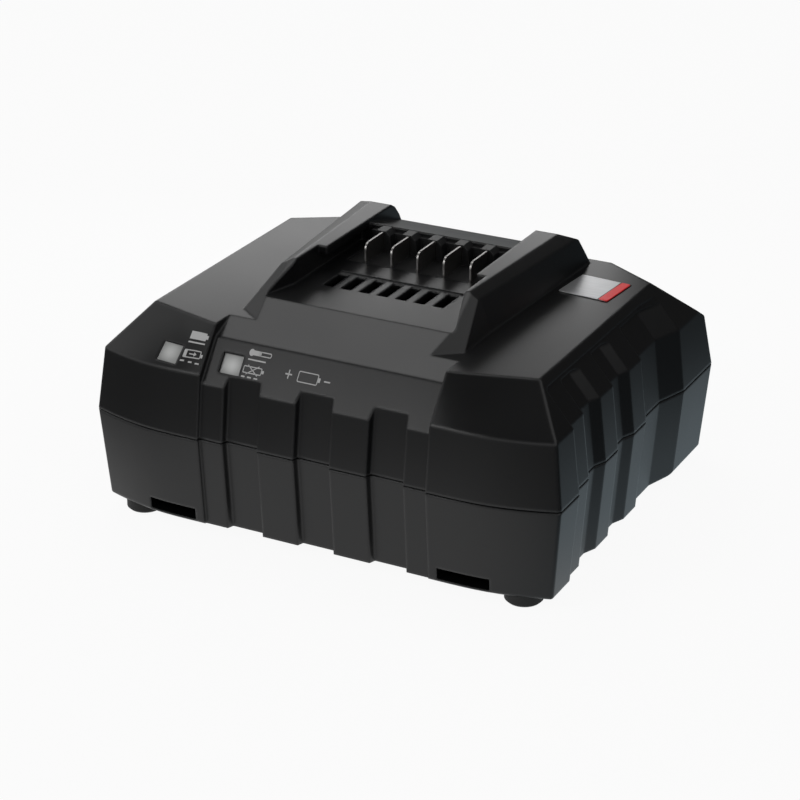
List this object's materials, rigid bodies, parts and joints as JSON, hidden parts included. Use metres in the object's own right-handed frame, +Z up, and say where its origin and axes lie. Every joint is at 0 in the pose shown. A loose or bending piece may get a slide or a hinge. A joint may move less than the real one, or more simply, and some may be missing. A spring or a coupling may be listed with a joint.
{
  "type": "battery charger",
  "caption": "Low mains charger with a railed bay on top, upright contact blades, vent slots, status windows, ribbed black shells and rubber feet.",
  "frame": {"origin": "on the floor below the middle of the charger", "axes": "+X to the right and +Y to the back as seen from the front, where the lights are, +Z up"},
  "size_m": [0.171, 0.143, 0.085],
  "materials": {
    "shell_black": "satin moulded grain",
    "carrier_black": "matte",
    "window_milk": "milky translucent",
    "lamp_clear": "clear",
    "board_green": "solder mask",
    "foot_rubber": "matte",
    "screw_steel": "zinc plated",
    "contact_nickel": "nickel plated",
    "ferrite_grey": "sintered",
    "winding_copper": "enamelled wire",
    "can_sleeve": "sleeve",
    "fuse_ceramic": "ceramic",
    "sink_aluminium": "extruded",
    "terminal_plastic": "moulded"
  },
  "bodies": {
    "charger": {"board_screws": "screw_steel", "bridge_rectifier": "carrier_black", "cable_gland": "foot_rubber", "contact_blade_1": "contact_nickel", "contact_blade_2": "contact_nickel", "contact_blade_3": "contact_nickel", "contact_blade_4": "contact_nickel", "contact_blade_5": "contact_nickel", "contact_carrier": "carrier_black", "fan_frame": "carrier_black", "fan_screws": "screw_steel", "filter_choke": "winding_copper", "fuse": "fuse_ceramic", "fuse_clips": "screw_steel", "harness_socket": "terminal_plastic", "heat_sink": "sink_aluminium", "housing_screws": "screw_steel", "led_board": "board_green", "light_window_centre": "window_milk", "light_window_left": "window_milk", "lower_housing": "shell_black", "main_board": "board_green", "mains_capacitor": "can_sleeve", "mains_terminal": "terminal_plastic", "output_capacitors": "can_sleeve", "power_transistors": "carrier_black", "rubber_feet": "foot_rubber", "status_lamps": "lamp_clear", "transformer_bobbin": "carrier_black", "transformer_core": "ferrite_grey", "transformer_winding": "winding_copper", "upper_housing": "shell_black"},
    "rotor": {"fan_rotor": "carrier_black"}
  },
  "joints": [
    {"name": "fan_spin", "type": "hinge", "parent": "charger", "child": "rotor", "pos_m": [0, -0.0164, 0.066], "axis": [0, 0, 1], "continuous": true}
  ]
}
